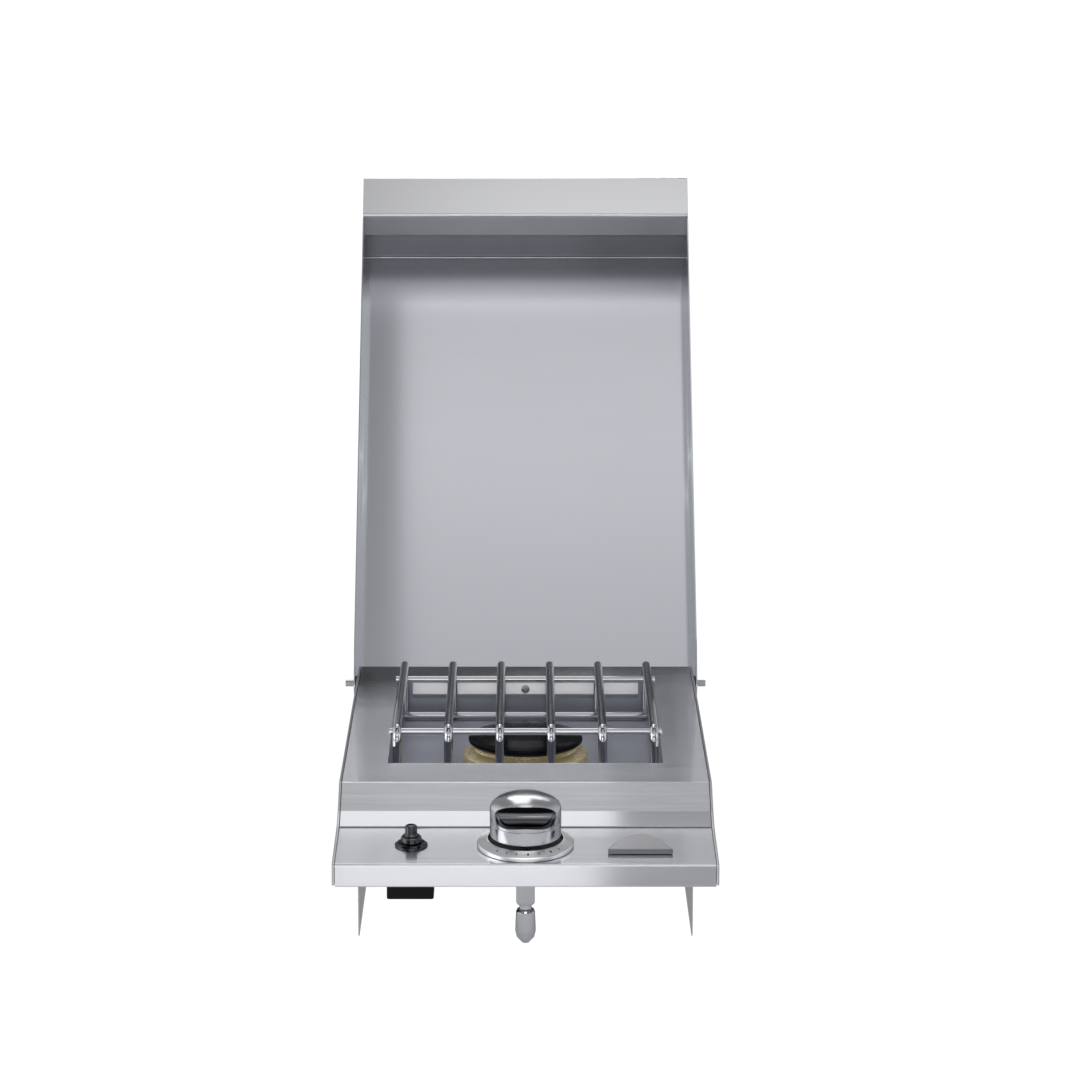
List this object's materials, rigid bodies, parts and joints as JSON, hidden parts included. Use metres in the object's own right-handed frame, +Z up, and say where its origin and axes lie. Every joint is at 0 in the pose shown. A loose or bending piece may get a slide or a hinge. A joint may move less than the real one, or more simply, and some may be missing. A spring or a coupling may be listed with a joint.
{
  "type": "built-in side burner",
  "caption": "Drop-in gas side burner for an outdoor counter: hinged lid held open, rod grate over a capped burner, sloped panel with push-and-turn knob and igniter button.",
  "frame": {"origin": "centre of the bottom of the whole object's box, lid open, on the plane of the lower box's bottom edges", "axes": "+Z up, +X to the right of a user standing at the controls, +Y away from the user, towards the lid hinge"},
  "size_m": [0.368, 0.9404, 0.6137],
  "materials": {
    "steel": "brushed, grain across the width",
    "steel_inner": "plain mill finish",
    "spring_steel": "drawn wire",
    "chrome": "polished",
    "brass": "cast and machined",
    "enamelled_iron": "satin black enamel",
    "zinc_plate": "zinc plated",
    "ceramic": "glazed ceramic",
    "black_plastic": "moulded, fine texture",
    "black_rubber": "matt"
  },
  "bodies": {
    "body": {"deck_top": "steel", "side_plate_left": "steel", "side_plate_right": "steel", "control_panel": "steel", "grate_rest": "steel", "box_side_left": "steel", "box_side_right": "steel", "rear_panel": "steel_inner", "burner_pan": "steel_inner", "pan_wall_left": "steel_inner", "pan_wall_right": "steel_inner", "pan_wall_front": "steel_inner", "pan_wall_rear": "steel_inner", "box_rear": "steel_inner", "heat_shield": "steel_inner", "air_shutter": "steel_inner", "tube_strap": "steel_inner", "module_bracket": "steel_inner", "igniter_locknut": "steel_inner", "stem_spring": "spring_steel", "igniter_spring": "spring_steel", "grate_rod_1": "chrome", "grate_rod_2": "chrome", "grate_rod_3": "chrome", "grate_rod_4": "chrome", "grate_rod_5": "chrome", "grate_rod_6": "chrome", "grate_bar_front": "chrome", "grate_bar_rear": "chrome", "grate_bar_low": "chrome", "knob_bezel": "chrome", "igniter_flange": "chrome", "badge": "chrome", "inlet_nut": "chrome", "inlet_elbow": "chrome", "burner_base": "brass", "gas_valve": "brass", "injector": "brass", "burner_cap": "enamelled_iron", "mixing_tube": "zinc_plate", "rest_screw": "zinc_plate", "electrode_tip": "zinc_plate", "valve_screw_left": "zinc_plate", "valve_screw_right": "zinc_plate", "hinge_pin_left": "zinc_plate", "hinge_pin_right": "zinc_plate", "electrode": "ceramic", "igniter_housing": "black_plastic", "ignition_module": "black_plastic", "hinge_washer_left": "black_rubber", "hinge_washer_right": "black_rubber", "lid_stop_left": "black_rubber", "lid_stop_right": "black_rubber"},
    "lid": {"lid_shell": "steel", "lid_handle": "steel"},
    "push_collar": {"stem_retainer": "steel_inner"},
    "knob": {"knob": "chrome", "valve_stem": "zinc_plate"},
    "igniter_button": {"igniter_button": "chrome"}
  },
  "joints": [
    {"name": "lid_hinge", "type": "hinge", "parent": "body", "child": "lid", "pos_m": [0, 0.07579, 0.137], "axis": [1, 0, 0], "range_deg": [0, 127.4]},
    {"name": "knob_push", "type": "slide", "parent": "body", "child": "push_collar", "axis": [0, 0.0624, -0.9981], "range_m": [0, 0.003], "stiffness_N_per_m": 3000, "springref_m": -0.003, "deforming": ["stem_spring"]},
    {"name": "knob_turn", "type": "hinge", "parent": "push_collar", "child": "knob", "pos_m": [0, -0.42041, 0.11713], "axis": [0, -0.0624, 0.9981], "range_deg": [0, 270]},
    {"name": "igniter_press", "type": "slide", "parent": "body", "child": "igniter_button", "axis": [0, 0.0624, -0.9981], "range_m": [0, 0.003], "stiffness_N_per_m": 500, "springref_m": -0.003, "deforming": ["igniter_spring"]}
  ]
}
